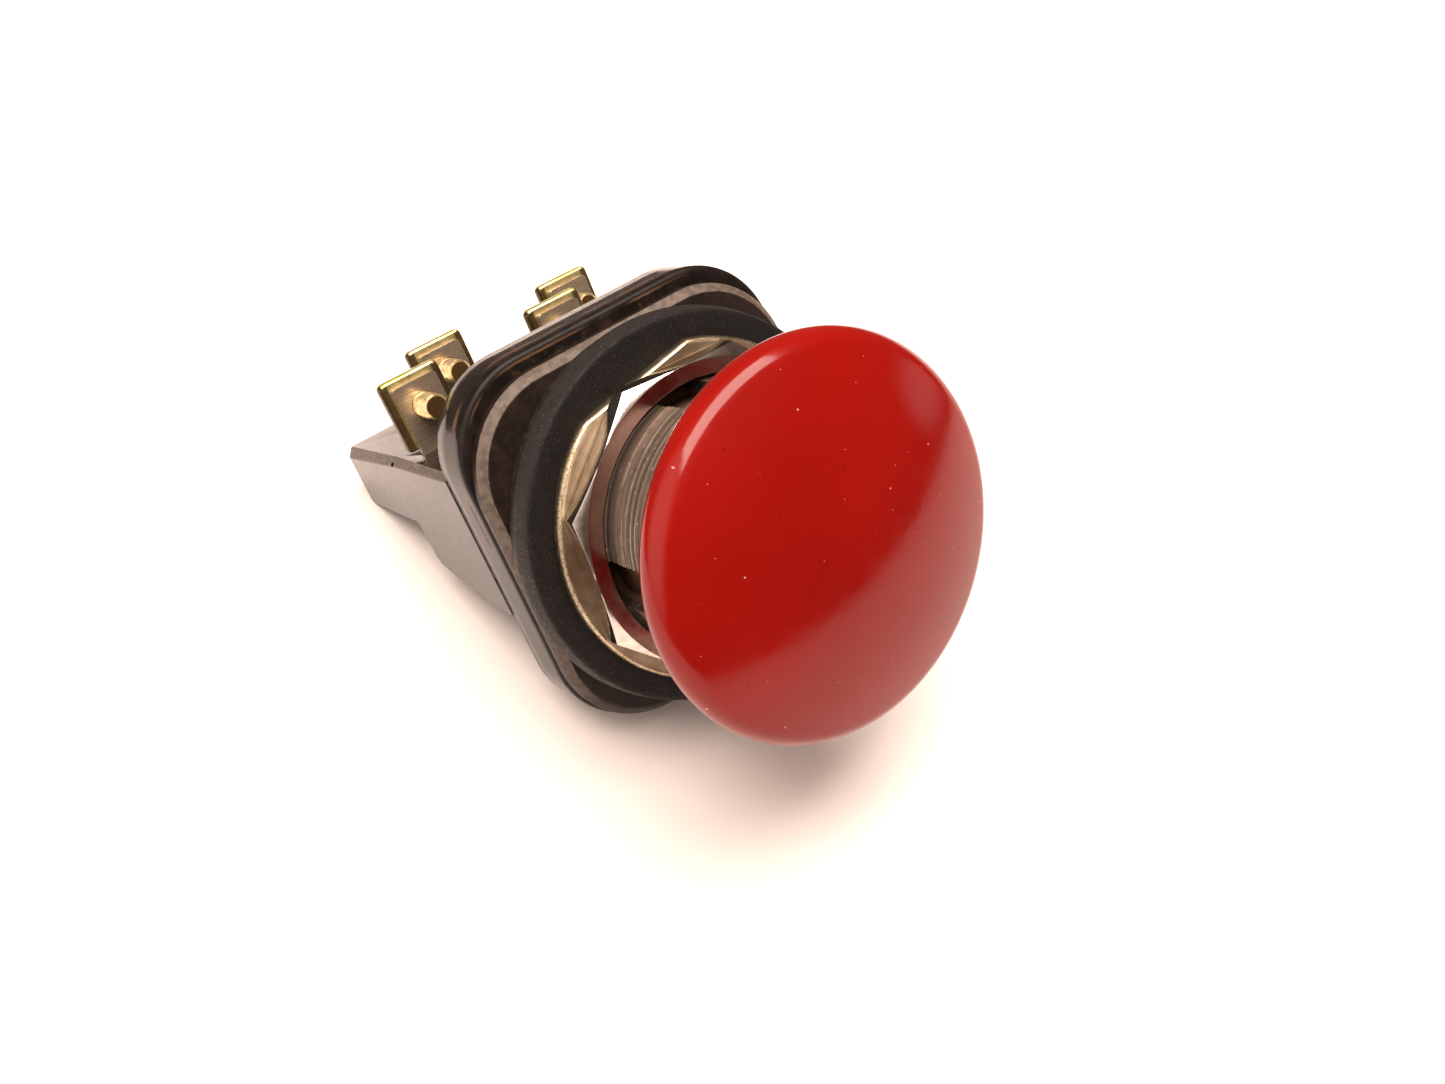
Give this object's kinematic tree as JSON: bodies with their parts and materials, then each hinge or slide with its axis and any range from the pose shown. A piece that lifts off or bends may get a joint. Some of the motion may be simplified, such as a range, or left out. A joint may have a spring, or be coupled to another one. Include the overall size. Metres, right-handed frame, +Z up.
{
  "type": "emergency stop push button",
  "caption": "Red mushroom-head emergency stop push button with a threaded panel bushing, ring nut, gasket and rear contact block with screw terminals.",
  "frame": {"origin": "on the button axis, where the front face of the panel gasket seats against the panel", "axes": "-Y along the button axis towards the head, +X to the right seen from the front, +Z up on the panel"},
  "size_m": [0.0442, 0.0772, 0.0453],
  "materials": {
    "head_red": "glossy moulded, light wear",
    "brass": "worn, lightly tarnished",
    "yellow_zinc": "yellow zinc plate",
    "steel": "turned, zinc plated",
    "spring_steel": "drawn wire",
    "nylon_grey": "moulded",
    "nylon_white": "moulded",
    "black_casting": "black finish on a zinc casting, worn at the edges and thread",
    "nut_chrome": "chrome plate, satin front face",
    "washer_nickel": "nickel plate, tarnished",
    "gasket_rubber": "matt, dusty",
    "seal_rubber": "matt",
    "black_phenolic": "glossy compression moulding",
    "silver": "contact silver",
    "copper_alloy": "stamped"
  },
  "bodies": {
    "operator": {"operator_housing": "black_casting", "mounting_nut": "nut_chrome", "trim_washer": "washer_nickel", "panel_gasket": "gasket_rubber", "spacer_gasket": "gasket_rubber", "shaft_seal": "seal_rubber", "return_spring": "spring_steel", "operator_base": "black_phenolic", "base_screws": "steel", "block_body": "black_phenolic", "block_cover": "black_phenolic", "block_screws": "steel", "front_terminal_left": "brass", "front_terminal_right": "brass", "rear_terminal_left": "brass", "rear_terminal_right": "brass", "terminal_clamps": "yellow_zinc", "terminal_screws": "yellow_zinc", "fixed_contact_tips": "silver", "contact_spring": "spring_steel"},
    "plunger": {"mushroom_head": "head_red", "head_insert": "brass", "plunger_stem": "steel", "plunger_guide": "nylon_grey", "retaining_ring": "spring_steel", "actuator_plate": "nylon_white"},
    "contact_carrier": {"contact_plunger": "nylon_white", "closed_bridge": "copper_alloy", "closed_bridge_tips": "silver"},
    "open_contact": {"open_bridge": "copper_alloy", "open_bridge_tips": "silver", "bridge_spring": "spring_steel"}
  },
  "joints": [
    {"name": "head_push", "type": "slide", "parent": "operator", "child": "plunger", "axis": [0, 1, 0], "range_m": [0, 0.0045], "stiffness_N_per_m": 1500, "springref_m": -0.004, "deforming": ["return_spring"]},
    {"name": "contact_push", "type": "slide", "parent": "operator", "child": "contact_carrier", "axis": [0, 1, 0], "range_m": [0, 0.0045], "stiffness_N_per_m": 300, "springref_m": -0.004, "deforming": ["contact_spring"]},
    {"name": "open_contact_push", "type": "slide", "parent": "operator", "child": "open_contact", "axis": [0, 1, 0], "range_m": [0, 0.0027], "deforming": ["bridge_spring"]}
  ],
  "couplings": [
    {"joint": "contact_push", "follows": "head_push", "ratio": 1},
    {"joint": "open_contact_push", "follows": "head_push", "ratio": 0.6}
  ]
}
